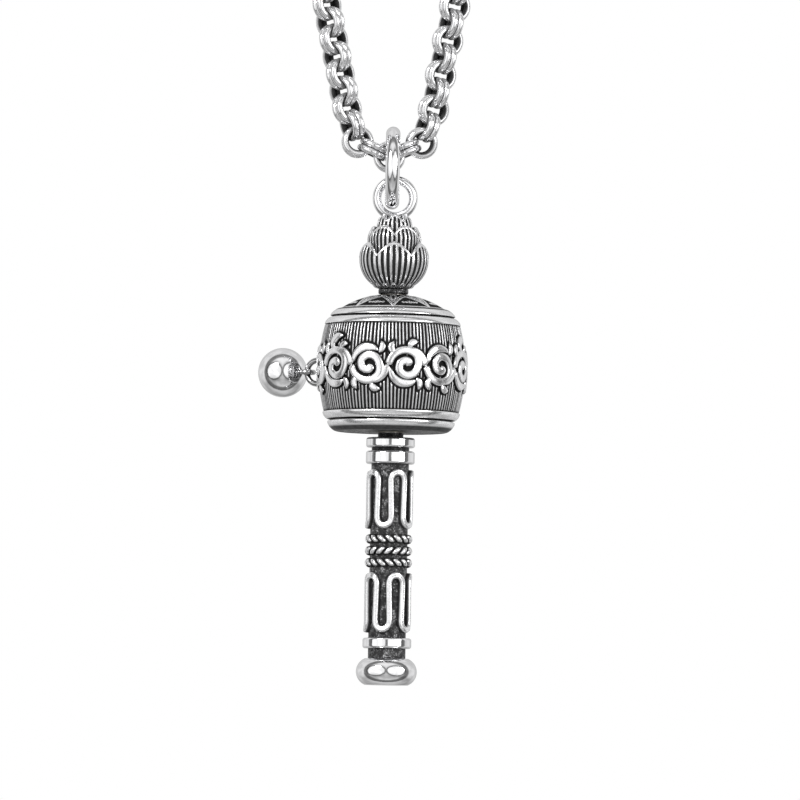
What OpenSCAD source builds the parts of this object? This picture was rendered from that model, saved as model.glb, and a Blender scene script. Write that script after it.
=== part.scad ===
// Pocket prayer wheel: a weighted drum that spins on a handle, hung as a pendant from a chain.
// Millimetres. +Z is up the spin axis and -Y is the front. The origin is on the spin axis, at the
// height where the jump ring bears on the chain. Names ending in _h are heights above the pommel's base.

/* [Handle] */
// Radius of the handle's core
core_r = 1.85; // [1.7:0.05:1.95]
// Outer radius of the collars
collar_r = 2.4; // [2.2:0.05:2.6]
// Widest radius of the pommel
pommel_r = 3.0; // [2.8:0.05:3.2]
// Height of the pommel
pommel_h = 2.6; // [2.5:0.05:2.7]
// Thickness of the scroll wires
scroll_wire_d = 0.56; // [0.4:0.02:0.6]
// Number of loops in each scroll wire
scroll_loops = 5; // [4:1:6]
// Radius of the axle
axle_r = 0.9; // [0.7:0.05:1.0]
// Radial running clearance of the bushes on the axle
running_gap = 0.04; // [0.02:0.01:0.08]

/* [Drum] */
// Radius of the barrel at its middle
drum_r = 7.25; // [7.2:0.05:7.3]
// Radius of the barrel at its ends
drum_end_r = 6.7; // [6.6:0.05:6.8]
// Number of ornaments round the barrel
ornaments = 6; // [4:1:8]
// Height of the ornaments above the barrel
relief = 0.32; // [0.2:0.02:0.36]

/* [Finial] */
// Widest radius of the bud
bud_r = 3.52; // [3.4:0.02:3.6]
// Wire thickness of the eye
eye_wire_d = 0.85; // [0.7:0.05:0.9]
// Mean radius of the eye
eye_r = 1.8; // [1.7:0.05:1.8]

/* [Weight] */
// Diameter of the ball
ball_d = 4.9; // [4.5:0.1:5.0]
// Direction of the weight round the axis, in degrees from +X
weight_angle = 147; // [140:1:155]

/* [Suspension] */
// Wire thickness of the jump ring
jump_wire_d = 1.42; // [1.3:0.02:1.44]
// Wire thickness of the chain's rings
link_wire_d = 0.57; // [0.5:0.01:0.57]
// Mean radius of the chain's rings
link_r = 1.28; // [1.27:0.01:1.29]

/* [Hidden] */
$fn = 96;

// Heights on the handle
tang_h = 1.0;
tang_r = 1;
pommel_side_r = 1.42;
collar_edge = 0.22;
base_collar_h = 3.6;
rope_h = [12.03, 13.2, 14.37];
rope_thick = 0.94;
shoulder_h = 21.78;
top_collar_h = 23.4;
handle_top_h = 24.37;
wave_low = [5.4, 10.8];
wave_high = [15.62, 20.96];
scroll_phase = 22;
scroll_bulge = 9;
scroll_sink = 0.03;
scroll_rings = 28;
scroll_sides = 10;

// The axle stands this deep in the handle's core, and this far up inside the bud
axle_sink = 2;
axle_grip = 2.4;
washer_r = 1.25;

// Heights on the drum
drum_base_h = 24.87;
base_rim_top_h = 26.06;
band_low_h = 26.96;
band_top_h = 35.4;
upper_rim_top_h = 36.26;
drum_top_h = 37.14;
dome_top_h = 38.5;
band_mid_h = (band_low_h + band_top_h) / 2;

// The barrel's side is one arc through the end radius and the middle radius
barrel_rise = drum_r - drum_end_r;
barrel_half = (band_top_h - band_low_h) / 2;
barrel_arc_r = (barrel_half * barrel_half + barrel_rise * barrel_rise) / (2 * barrel_rise);
drum_inner_r = 6.0;
cap_r = 5.1;
lower_rim_r = drum_end_r + 0.07;
top_rim_r = drum_end_r - 0.54;
rim_edge = 0.2;
dome_wall = 0.7;
dome_skirt = 0.6;
cap_wall = 0.8;
dome_arc_r = 9.54;
dome_arc_h = 29.08;
bush_r = 1.3;
bush_len = 1;
upper_bush_h = 37.3;
sleeve_r = 1.55;
sleeve_gap = 0.15;
scroll_r = 4.9;
scroll_over = 0.5;

// Ornament: a ring of lobes with an eye in each, round a ring and a dot
rosette_dot_r = 0.45;
rosette_ring_r = 0.85;
rosette_hub_r = 1.5;
rosette_lobe_r = 1.1;
rosette_lobe_at = 1.35;
rosette_eye_r = 0.62;
rosette_eye_at = 1.4;

// Heights on the finial
finial_base_h = 38.56;
finial_base_r = 1.48;
bud_base_h = 39.07;
upper_tier_h = 43.3;
top_tier_h = 45.2;
stem_h = 45.6;
stem_r = 0.45;
eye_h = 48.06;
petal_wall = 0.25;

// Each tier of petals: the radius and the centre's height of the disc that it is cut from, how much
// narrower it is than the lowest tier, the height of its valleys and its tips, and a valley's half width
lower_tier = [2.97, 41.95, 0, 42.3, 43.6, 1.35];
upper_tier = [2.46, 43.6, 0.86, 44.55, 45.25, 0.9];
top_tier = [1.75, 45.3, 1.87, 45.85, 46.4, 0.6];

// Jump ring: it hangs a little to the left, and its lower wire passes through the eye
jump_x = -0.3;
jump_r = 3.39;
jump_h = 51.04;
hang_h = jump_h + jump_r - jump_wire_d / 2;

// Weight: distances from the spin axis along weight_angle
weight_h = 31.0;
lug_r = 0.62;
lug_wire_r = 0.25;
lug_x = 7.7;
hook_r = 1.16;
hook_wire_r = 0.28;
hook_x = lug_x + hook_r;
eyelet_x = hook_x + hook_r;
ball_gap = 0.47;
ball_x = eyelet_x + ball_gap + ball_d / 2;
lug_stem_r = 0.3;
lug_stem_len = 0.6;
lug_stem_sink = 0.7;

// Chain: pairs of rings in turn across and along the view. Each number is the direction, in degrees
// from +X towards +Z, of the step from one facing pair to the next, starting at the lowest pair.
link_gap = 0.01;
step = 3.48;
saddle_at = [-0.65, 0, 52.13];
left_steps = [155.5, 108.5, 102, 102, 102, 102];
right_steps = [24.5, 71.5, 79.5, 79.5, 79.5, 79.5];
left_twist = 9;
max_twist = 45;

// Clasp: a hollow ring with a sprung gate, on the left strand. Angles are measured round the ring.
clasp_r = 2.7;
clasp_tube_r = 0.62;
clasp_bore_r = 0.42;
gate_wire_r = 0.36;
mouth = [20, 70];
gate_span = [12, 150];
knob_at = 100;
gate_travel = 55;
stop_at = 262;
stop_arc = 4;
slot_w = 0.34;
knob_r = 0.3;
knob_stem_r = 0.13;
knob_h = 0.8;
knob_thick = 0.25;
tab_r = 0.95;
tab_wire_r = 0.3;
tab_sink = 0.12;
link_play = 0.06;
spring_turns = 12;
spring_r = 0.26;
spring_wire_r = 0.06;
spring_sides = 5;
spring_rings = 12;
end_ring_r = 1.9;
end_wire_r = 0.35;

silver = "#d9d9dc";
dark_silver = "#5b5b5d";
mid_silver = "#9c9c9f";
paper = "#d8cba4";

// ---- helpers ----

// Places children by their height above the pommel's base
module from_base(h = 0) translate([0, 0, h - hang_h]) children();

module tube(r_out, r_in, h) difference() {
    cylinder(r = r_out, h = h);
    if (r_in > 0) translate([0, 0, -1]) cylinder(r = r_in, h = h + 2);
}

// Half section of a band, with its outer corners rounded
module band_2d(r_in, r_out, h, edge) {
    translate([r_in, 0]) square([r_out - r_in - edge, h]);
    translate([r_in, edge]) square([r_out - r_in, h - 2 * edge]);
    for (y = [edge, h - edge]) translate([r_out - edge, y]) circle(edge);
}

module band(r_in, r_out, h, edge) rotate_extrude() band_2d(r_in, r_out, h, edge);

// A wire ring that lies in the XY plane
module wire_ring(r, wire_r) rotate_extrude() translate([r, 0]) circle(wire_r);

// Half disc of the barrel's outer face, raised by lift
module barrel_2d(lift = 0) intersection() {
    translate([drum_r + lift - barrel_arc_r, band_mid_h]) circle(barrel_arc_r, $fn = 360);
    translate([0, band_low_h]) square([drum_r + 1, band_top_h - band_low_h]);
}

module slab_2d(low, high, r = 5) translate([0, low]) square([r, high - low]);

// ---- handle ----

module pommel() color(silver) from_base() difference() {
    rotate_extrude() {
        intersection() {
            translate([pommel_r - pommel_side_r, pommel_h / 2]) circle(pommel_side_r);
            slab_2d(0, pommel_h);
        }
        square([pommel_r - pommel_side_r, pommel_h]);
    }
    translate([0, 0, tang_h]) cylinder(r = tang_r, h = pommel_h);
}

module handle_core() color(dark_silver) from_base() difference() {
    union() {
        translate([0, 0, tang_h]) cylinder(r = tang_r, h = pommel_h);
        translate([0, 0, pommel_h]) cylinder(r = core_r, h = handle_top_h - pommel_h);
    }
    translate([0, 0, shoulder_h - axle_sink]) cylinder(r = axle_r, h = 10);
}

module collar(h, tall) color(silver) from_base(h) band(core_r, collar_r, tall, collar_edge);

module base_collar() collar(base_collar_h, 1.02);
module shoulder_collar() collar(shoulder_h, 1.27);
module top_collar() collar(top_collar_h, handle_top_h - top_collar_h);

// Centre line of a scroll wire: a meander whose loops are wider than their necks
function scroll_turn(u) = scroll_phase + 360 / scroll_loops * u + scroll_bulge * sin(720 * u);
function scroll_point(u, low, high) =
    let (r = core_r + scroll_wire_d / 2 - scroll_sink, a = scroll_turn(u) - 90)
    [r * cos(a), r * sin(a), (low + high) / 2 + (high - low) / 2 * cos(360 * u)];
function unit(v) = v / norm(v);
function scroll_section(u, low, high) =
    let (
        p = scroll_point(u, low, high),
        ahead = scroll_point(u + 0.005, low, high) - scroll_point(u - 0.005, low, high),
        out = unit([p.x, p.y, 0]),
        side = unit(cross(ahead, out))
    )
    [for (k = [0:scroll_sides - 1]) let (a = 360 * k / scroll_sides)
        p + scroll_wire_d / 2 * (cos(a) * out + sin(a) * side)];

module scroll_wire(low, high) {
    n = scroll_sides;
    count = scroll_loops * scroll_rings;
    points = [for (i = [0:count - 1]) each scroll_section(i / scroll_rings, low, high)];
    faces = [
        for (i = [0:count - 1], k = [0:n - 1])
        let (j = (i + 1) % count, m = (k + 1) % n)
        [i * n + k, j * n + k, j * n + m, i * n + m]
    ];
    color(silver) from_base() polyhedron(points, faces, convexity = 8);
}

module lower_scroll_wire() scroll_wire(wave_low[0], wave_low[1]);
module upper_scroll_wire() scroll_wire(wave_high[0], wave_high[1]);

module rope_ring(i) color(silver) from_base(rope_h[i]) rotate_extrude() intersection() {
    translate([core_r + scroll_sink, 0]) circle(rope_thick / 2);
    translate([core_r, -1]) square([2, 2]);
}

module axle() color(mid_silver) from_base(shoulder_h - axle_sink)
    cylinder(r = axle_r, h = bud_base_h + axle_grip - shoulder_h + axle_sink);

module thrust_washer() color(dark_silver) from_base(handle_top_h)
    tube(washer_r, axle_r, drum_base_h - handle_top_h - 0.05);

// ---- drum ----

module drum_shell() color(dark_silver) from_base() rotate_extrude() difference() {
    barrel_2d();
    square([drum_inner_r, 50]);
}

// One ornament: a rosette of rings round a middle dot, drawn flat
module rosette_2d() {
    circle(rosette_dot_r);
    difference() {
        union() {
            for (a = [0:90:359]) rotate(a) translate([rosette_lobe_at, 0]) circle(rosette_lobe_r);
            circle(rosette_hub_r);
        }
        for (a = [0:90:359]) rotate(a) translate([rosette_eye_at, 0]) circle(rosette_eye_r);
        circle(rosette_ring_r);
    }
}

module drum_ornament() color(silver) from_base() intersection() {
    for (i = [0:ornaments - 1])
        rotate(weight_angle + (i + 0.5) * 360 / ornaments)
            translate([5, 0, band_mid_h])
                rotate([90, 0, 90]) linear_extrude(4) rosette_2d();
    rotate_extrude() difference() {
        barrel_2d(relief);
        barrel_2d();
    }
}

module base_rim() color(silver) from_base() rotate_extrude() intersection() {
    translate([cap_r, base_rim_top_h]) circle(base_rim_top_h - drum_base_h);
    translate([cap_r, drum_base_h]) square([3, base_rim_top_h - drum_base_h]);
}

module lower_rim() color(silver) from_base(base_rim_top_h)
    band(cap_r, lower_rim_r, band_low_h - base_rim_top_h, rim_edge);

module upper_rim() color(silver) from_base(band_top_h)
    band(cap_r, drum_end_r, upper_rim_top_h - band_top_h, rim_edge);

module top_rim() color(silver) from_base(upper_rim_top_h)
    band(cap_r, top_rim_r, drum_top_h - upper_rim_top_h, rim_edge);

module dome_cap() color(mid_silver) from_base() rotate_extrude() difference() {
    intersection() {
        translate([0, dome_arc_h]) circle(dome_arc_r, $fn = 360);
        translate([bush_r, drum_top_h - dome_skirt]) square([cap_r - bush_r, 3]);
    }
    translate([0, dome_arc_h]) circle(dome_arc_r - dome_wall, $fn = 360);
}

module bottom_cap() color(mid_silver) from_base(drum_base_h + 0.1) tube(cap_r, bush_r, cap_wall);

module bush(low, high) color("#b9a36a") from_base(low) tube(bush_r, axle_r + running_gap, high - low);

module lower_bush() bush(drum_base_h, drum_base_h + bush_len);
module upper_bush() bush(upper_bush_h, dome_top_h);

module scroll_sleeve() color(mid_silver) from_base(drum_base_h + bush_len)
    tube(sleeve_r, axle_r + sleeve_gap, upper_bush_h - drum_base_h - bush_len);

module prayer_scroll() color(paper) from_base(band_low_h - scroll_over)
    tube(scroll_r, sleeve_r, band_top_h - band_low_h + 2 * scroll_over);

// ---- finial ----

module finial_base() color(silver) from_base(finial_base_h)
    band(axle_r, finial_base_r, bud_base_h - finial_base_h, 0.12);

// The disc that a tier is cut from, shrunk by inset
module tier_disc(tier, inset = 0) translate([bud_r - tier[2] - tier[0], tier[1]]) circle(tier[0] - inset);

// Wedges that part the petals: each opens from a valley up to the tips
module valleys(tier, turn) for (a = [turn:60:turn + 359])
    rotate([90, 0, a + 90]) linear_extrude(5)
        polygon([[0, tier[3]], [tier[5], tier[4] + 0.1], [-tier[5], tier[4] + 0.1]]);

module bud_core() color(dark_silver) from_base() difference() {
    rotate_extrude() {
        intersection() { tier_disc(lower_tier, petal_wall); slab_2d(bud_base_h, upper_tier_h); }
        intersection() { tier_disc(upper_tier, petal_wall); slab_2d(upper_tier_h - 0.1, top_tier_h); }
        intersection() { tier_disc(top_tier, petal_wall); slab_2d(top_tier_h - 0.1, stem_h); }
    }
    translate([0, 0, bud_base_h - 1]) cylinder(r = axle_r, h = axle_grip + 1);
}

// A tier of petals from the height low upwards, with its first valley at the angle turn
module petals(tier, low, turn) color(mid_silver) from_base() difference() {
    rotate_extrude() difference() {
        intersection() { tier_disc(tier); slab_2d(low, tier[4]); }
        tier_disc(tier, petal_wall);
        square([1.2, bud_base_h + 2]);
    }
    valleys(tier, turn);
}

module lower_petals() petals(lower_tier, bud_base_h, -60);
module upper_petals() petals(upper_tier, upper_tier_h, -90);
module top_petals() petals(top_tier, top_tier_h, -60);

module finial_eye() color(silver) {
    from_base(eye_h) rotate([90, 0, 0]) wire_ring(eye_r, eye_wire_d / 2);
    from_base(stem_h) cylinder(r = stem_r, h = 0.6);
}

// ---- weight ----

// Places children at a distance from the axis, with +X pointing away from it
module at_weight(x) from_base(weight_h) rotate(weight_angle) translate([x, 0, 0]) children();

module weight_lug() color(mid_silver) {
    at_weight(lug_x) wire_ring(lug_r, lug_wire_r);
    at_weight(drum_r - lug_stem_sink) rotate([0, 90, 0]) cylinder(r = lug_stem_r, h = lug_stem_len);
}

module weight_link() color(silver) at_weight(hook_x) rotate([90, 0, 0]) wire_ring(hook_r, hook_wire_r);
module weight_ball() color(silver) at_weight(ball_x) sphere(d = ball_d);

module weight_eye() color(silver) difference() {
    at_weight(eyelet_x) wire_ring(lug_r, lug_wire_r);
    at_weight(ball_x) sphere(d = ball_d);
}

// ---- suspension ----

module jump_ring() color(silver) from_base(jump_h) translate([jump_x, 0, 0]) rotate([0, 90, 0])
    wire_ring(jump_r, jump_wire_d / 2);

function along(d) = [cos(d), 0, sin(d)];
function corners(p, steps, i = 0) =
    i == len(steps) ? [p] : concat([p], corners(p + step * along(steps[i]), steps, i + 1));
left_at = corners(saddle_at, left_steps);
right_at = corners(saddle_at, right_steps);
// A pair at a corner lies halfway between the steps on each side of it
function corner_dir(steps, i) = (steps[i - 1] + steps[min(i, len(steps) - 1)]) / 2;
function twist_at(rate, i) = min(max_twist, rate * i);

// Places children on a strand, with +Z along it
module on_strand(p, dir, roll) from_base() translate(p) rotate([0, 90 - dir, 0]) rotate(roll) children();

module pair() for (s = [-1, 1]) translate([0, s * (link_wire_d / 2 + link_gap), 0])
    rotate([90, 0, 0]) wire_ring(link_r, link_wire_d / 2);

// Pairs of one strand, from the facing pair at corner 1 to the last pair before its fitting
module strand(at, steps, rate) for (i = [1:len(steps) - 1]) {
    on_strand(at[i], corner_dir(steps, i), twist_at(rate, 2 * i - 2)) pair();
    on_strand((at[i] + at[i + 1]) / 2, steps[i], 90 + twist_at(rate, 2 * i - 1)) pair();
}

module chain_left() color(silver) strand(left_at, left_steps, left_twist);
module chain_right() color(silver) strand(right_at, right_steps, 0);

module chain_saddle() color(silver) {
    on_strand(saddle_at, 0, 0) pair();
    on_strand((left_at[0] + left_at[1]) / 2, left_steps[0], 90) pair();
    on_strand((right_at[0] + right_at[1]) / 2, right_steps[0], 90) pair();
}

left_end = left_at[len(left_steps)];
left_dir = left_steps[len(left_steps) - 1];
right_end = right_at[len(right_steps)];
right_dir = right_steps[len(right_steps) - 1];

module clasp_link() color(silver) on_strand(left_end, left_dir, max_twist)
    rotate([90, 0, 0]) wire_ring(link_r, link_wire_d / 2);

module end_ring() color(silver)
    on_strand(right_end + (end_ring_r - link_r) * along(right_dir), right_dir, 0)
        rotate([90, 0, 0]) wire_ring(end_ring_r, end_wire_r);

tab_from_link = link_r - link_wire_d / 2 + tab_r - tab_wire_r - link_play;
clasp_from_tab = tab_r + tab_wire_r + clasp_r + clasp_tube_r - tab_sink;

// Places the clasp's ring in the XY plane of its children, with its tab towards -Y
module at_clasp(back = 0) on_strand(
    left_end + (tab_from_link + clasp_from_tab - back) * along(left_dir), left_dir, 90 + max_twist
) rotate([90, 0, 0]) children();

module arc_rod(span, r, wire_r) rotate(span[0]) rotate_extrude(angle = span[1] - span[0])
    translate([r, 0]) circle(wire_r);

module clasp_shell() color(silver) {
    at_clasp() difference() {
        arc_rod([mouth[1], 360 + mouth[0]], clasp_r, clasp_tube_r);
        difference() {
            arc_rod([mouth[1] - 5, 365 + mouth[0]], clasp_r, clasp_bore_r);
            arc_rod([stop_at, stop_at + stop_arc], clasp_r, clasp_bore_r + 0.1);
        }
        rotate(knob_at - 5) rotate_extrude(angle = gate_travel + 10)
            translate([clasp_r - slot_w / 2, 0]) square([slot_w, 1]);
    }
    at_clasp(clasp_from_tab) wire_ring(tab_r, tab_wire_r);
}

module clasp_gate() color(mid_silver) at_clasp() {
    arc_rod(gate_span, clasp_r, gate_wire_r);
    rotate(knob_at) translate([clasp_r, 0, 0]) {
        cylinder(r = knob_stem_r, h = knob_h + 0.05);
        translate([0, 0, knob_h]) cylinder(r = knob_r, h = knob_thick);
    }
}

// Coil spring in the clasp's bore, from the gate's heel to the stop
function spring_centre(u) =
    let (
        a = gate_span[1] + 1 + u * (stop_at - gate_span[1] - 2),
        w = 360 * spring_turns * u,
        r = clasp_r + spring_r * cos(w)
    )
    [r * cos(a), r * sin(a), spring_r * sin(w)];

function spring_section(u) =
    let (
        ahead = unit(spring_centre(u + 0.001) - spring_centre(u - 0.001)),
        out = unit(cross(ahead, [0, 0, 1])),
        up = cross(out, ahead)
    )
    [for (k = [0:spring_sides - 1]) let (a = 360 * k / spring_sides)
        spring_centre(u) + spring_wire_r * (cos(a) * out + sin(a) * up)];

module clasp_spring() {
    n = spring_sides;
    count = spring_turns * spring_rings;
    points = [for (i = [0:count]) each spring_section(i / count)];
    walls = [
        for (i = [0:count - 1], k = [0:n - 1])
        let (m = (k + 1) % n)
        [i * n + k, (i + 1) * n + k, (i + 1) * n + m, i * n + m]
    ];
    first = [for (k = [0:n - 1]) k];
    last = [for (k = [n - 1:-1:0]) count * n + k];
    color(mid_silver) at_clasp() polyhedron(points, concat(walls, [first, last]), convexity = 10);
}

pommel();
handle_core();
base_collar();
shoulder_collar();
top_collar();
lower_scroll_wire();
upper_scroll_wire();
rope_ring(0);  // rope_ring_1
rope_ring(1);  // rope_ring_2
rope_ring(2);  // rope_ring_3
axle();
thrust_washer();
finial_base();
bud_core();
lower_petals();
upper_petals();
top_petals();
finial_eye();
drum_shell();
drum_ornament();
base_rim();
lower_rim();
upper_rim();
top_rim();
dome_cap();
bottom_cap();
upper_bush();
lower_bush();
scroll_sleeve();
prayer_scroll();
weight_lug();
weight_link();
weight_ball();
weight_eye();
jump_ring();
chain_saddle();
chain_left();
chain_right();
clasp_link();
clasp_shell();
clasp_gate();
clasp_spring();
end_ring();
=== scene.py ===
"""Looks of a pocket prayer wheel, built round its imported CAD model. Every length is in metres."""
import math
import random

import bmesh
import bpy
import numpy as np
from mathutils import Matrix, Quaternion, Vector, kdtree


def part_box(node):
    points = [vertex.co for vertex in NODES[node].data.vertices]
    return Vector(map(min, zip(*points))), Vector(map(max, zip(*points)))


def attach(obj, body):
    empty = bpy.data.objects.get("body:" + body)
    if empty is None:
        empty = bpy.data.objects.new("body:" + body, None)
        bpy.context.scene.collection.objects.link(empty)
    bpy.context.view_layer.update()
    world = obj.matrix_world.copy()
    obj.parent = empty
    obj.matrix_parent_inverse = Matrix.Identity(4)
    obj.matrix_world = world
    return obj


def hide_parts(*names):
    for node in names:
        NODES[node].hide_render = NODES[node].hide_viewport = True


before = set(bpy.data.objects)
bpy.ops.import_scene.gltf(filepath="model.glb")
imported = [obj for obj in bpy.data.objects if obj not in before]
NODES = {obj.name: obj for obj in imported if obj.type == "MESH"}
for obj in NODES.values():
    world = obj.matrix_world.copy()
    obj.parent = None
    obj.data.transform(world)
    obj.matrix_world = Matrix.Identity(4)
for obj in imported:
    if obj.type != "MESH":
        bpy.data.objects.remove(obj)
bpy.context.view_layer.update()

MM = 0.001
BOXES = {node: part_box(node) for node in NODES}
BASE_Z = BOXES["pommel"][0].z


# ---------------------------------------------------------------- places, from the frame


def at_h(height):
    """Height above the pommel's base, in millimetres, as a height in the frame."""
    return BASE_Z + height * MM


def low(node):
    """Height of a node's lowest point."""
    return BOXES[node][0].z


def high(node):
    """Height of a node's highest point."""
    return BOXES[node][1].z


def radius(node):
    """Radius of a round node that stands on the spin axis."""
    lo, hi = BOXES[node]
    return (hi.x - lo.x) / 2


# ---------------------------------------------------------------- camera

VIEW_WIDTH = 78.9 * MM
VIEW_CENTRE = Vector((0.85 * MM, 0, at_h(28.13)))
CAMERA_DISTANCE = 0.9
CAMERA_ELEVATION = math.radians(-3)
CAMERA_ROLL = math.radians(1.07)
SENSOR = 36


def make_camera():
    """The photo's view, from slightly below and with a small roll."""
    back = Vector((0, -math.cos(CAMERA_ELEVATION), math.sin(CAMERA_ELEVATION)))
    data = bpy.data.cameras.new("camera")
    data.sensor_width = SENSOR
    data.lens = SENSOR * CAMERA_DISTANCE / VIEW_WIDTH
    data.clip_start = 0.01
    data.clip_end = 20
    camera = bpy.data.objects.new("camera", data)
    camera.rotation_mode = "QUATERNION"
    camera.location = VIEW_CENTRE + back * CAMERA_DISTANCE
    camera.rotation_quaternion = (-back).to_track_quat("-Z", "Y") @ Quaternion((0, 0, 1), CAMERA_ROLL)
    bpy.context.scene.collection.objects.link(camera)
    bpy.context.scene.camera = camera


# ---------------------------------------------------------------- mesh tools


WELD = 1e-8
RING_AROUND, RING_ACROSS = 48, 20


def grid_faces(rows, columns, wrap_rows=False, wrap_columns=True):
    """Quads of a grid of rows x columns points that is stored row by row."""
    faces = []
    for i in range(rows if wrap_rows else rows - 1):
        j = (i + 1) % rows
        for k in range(columns if wrap_columns else columns - 1):
            m = (k + 1) % columns
            faces.append((i * columns + k, i * columns + m, j * columns + m, j * columns + k))
    return faces


def revolve(r, z, turns):
    """A closed ring of sections: r and z are arrays of (section points, angles)."""
    x = r * np.cos(turns)
    y = r * np.sin(turns)
    points = np.stack([x, y, np.broadcast_to(z, x.shape)], axis=-1).reshape(-1, 3)
    return points, grid_faces(r.shape[0], r.shape[1], wrap_rows=True)


def build(name, points, faces, material, body, replaces=(), rise=None):
    """A smooth piece in the frame. rise is each point's height in the relief, from 0 to 1."""
    mesh = bpy.data.meshes.new(name)
    mesh.from_pydata(np.asarray(points).tolist(), [], faces)
    if rise is not None:
        attribute = mesh.attributes.new("rise", "FLOAT", "POINT")
        attribute.data.foreach_set("value", np.asarray(rise, np.float32).ravel())
    bm = bmesh.new()
    bm.from_mesh(mesh)
    bmesh.ops.remove_doubles(bm, verts=bm.verts, dist=WELD)
    bmesh.ops.recalc_face_normals(bm, faces=bm.faces)
    bm.to_mesh(mesh)
    bm.free()
    mesh.polygons.foreach_set("use_smooth", [True] * len(mesh.polygons))
    mesh.materials.append(material)
    piece = bpy.data.objects.new(name, mesh)
    bpy.context.scene.collection.objects.link(piece)
    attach(piece, body)
    if replaces:
        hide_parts(*replaces)
    return piece


class Parts:
    """Gathers separate closed shapes into one piece."""

    def __init__(self):
        self.points = []
        self.faces = []
        self.rise = []
        self.count = 0

    def add(self, points, faces, rise=None):
        """Adds one shape, fully raised unless rise says otherwise."""
        points = np.asarray(points, float).reshape(-1, 3)
        self.faces.extend(tuple(i + self.count for i in f) for f in faces)
        self.points.append(points)
        self.rise.append(np.ones(len(points)) if rise is None else np.asarray(rise, float).ravel())
        self.count += len(points)

    def build(self, name, material, body, slot, replaces=()):
        """Makes the piece."""
        return build(name, np.concatenate(self.points), self.faces, material, body,
                     replaces, np.concatenate(self.rise))


def torus(matrix, ring_r, wire_r):
    """A wire ring in the local XY plane, with how far each point stands towards its outside."""
    a = np.linspace(0, 2 * math.pi, RING_AROUND, endpoint=False)[:, None]
    b = np.linspace(0, 2 * math.pi, RING_ACROSS, endpoint=False)[None, :]
    r = ring_r + wire_r * np.cos(b)
    points = np.stack([r * np.cos(a), r * np.sin(a), wire_r * np.sin(b) + 0 * a], axis=-1)
    points = points.reshape(-1, 3) @ np.array(matrix.to_3x3()).T + np.array(matrix.translation)
    outward = 0.5 + 0.5 * np.cos(b) + 0 * a
    return points, grid_faces(RING_AROUND, RING_ACROSS, wrap_rows=True), outward


def spline(knots, samples):
    """Catmull-Rom curve through the knots, with this many points from each knot to the next."""
    knots = [np.array(k, float) for k in knots]
    out = []
    for i in range(len(knots) - 1):
        p1, p2 = knots[i], knots[i + 1]
        p0 = knots[i - 1] if i > 0 else 2 * p1 - p2
        p3 = knots[i + 2] if i + 2 < len(knots) else 2 * p2 - p1
        for t in np.arange(samples) / samples:
            out.append(0.5 * (2 * p1 + (p2 - p0) * t + (2 * p0 - 5 * p1 + 4 * p2 - p3) * t * t
                              + (3 * p1 - p0 - 3 * p2 + p3) * t ** 3))
    out.append(knots[-1])
    return np.array(out)


def smooth(low_edge, high_edge, x):
    """Smooth step from 0 at the low edge to 1 at the high edge."""
    t = np.clip((x - low_edge) / (high_edge - low_edge), 0, 1)
    return t * t * (3 - 2 * t)


# ---------------------------------------------------------------- materials


def feed(tree, value, socket):
    """Links a node's output to a socket, or sets the socket to a plain value."""
    if isinstance(value, bpy.types.NodeSocket):
        tree.links.new(value, socket)
    else:
        socket.default_value = value


def colour_ramp(tree, value, stops, interpolation="LINEAR"):
    """Colour by value. Each stop has a place and a colour."""
    made = tree.nodes.new("ShaderNodeValToRGB")
    made.color_ramp.interpolation = interpolation
    elements = made.color_ramp.elements
    while len(elements) < len(stops):
        elements.new(0.5)
    for element, (place, colour) in zip(elements, stops):
        element.position = place
        element.color = colour
    tree.links.new(value, made.inputs[0])
    return made.outputs[0]


def silver(grey):
    """Grey with silver's faint blue."""
    return (grey, grey, grey * 1.01, 1)


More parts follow.
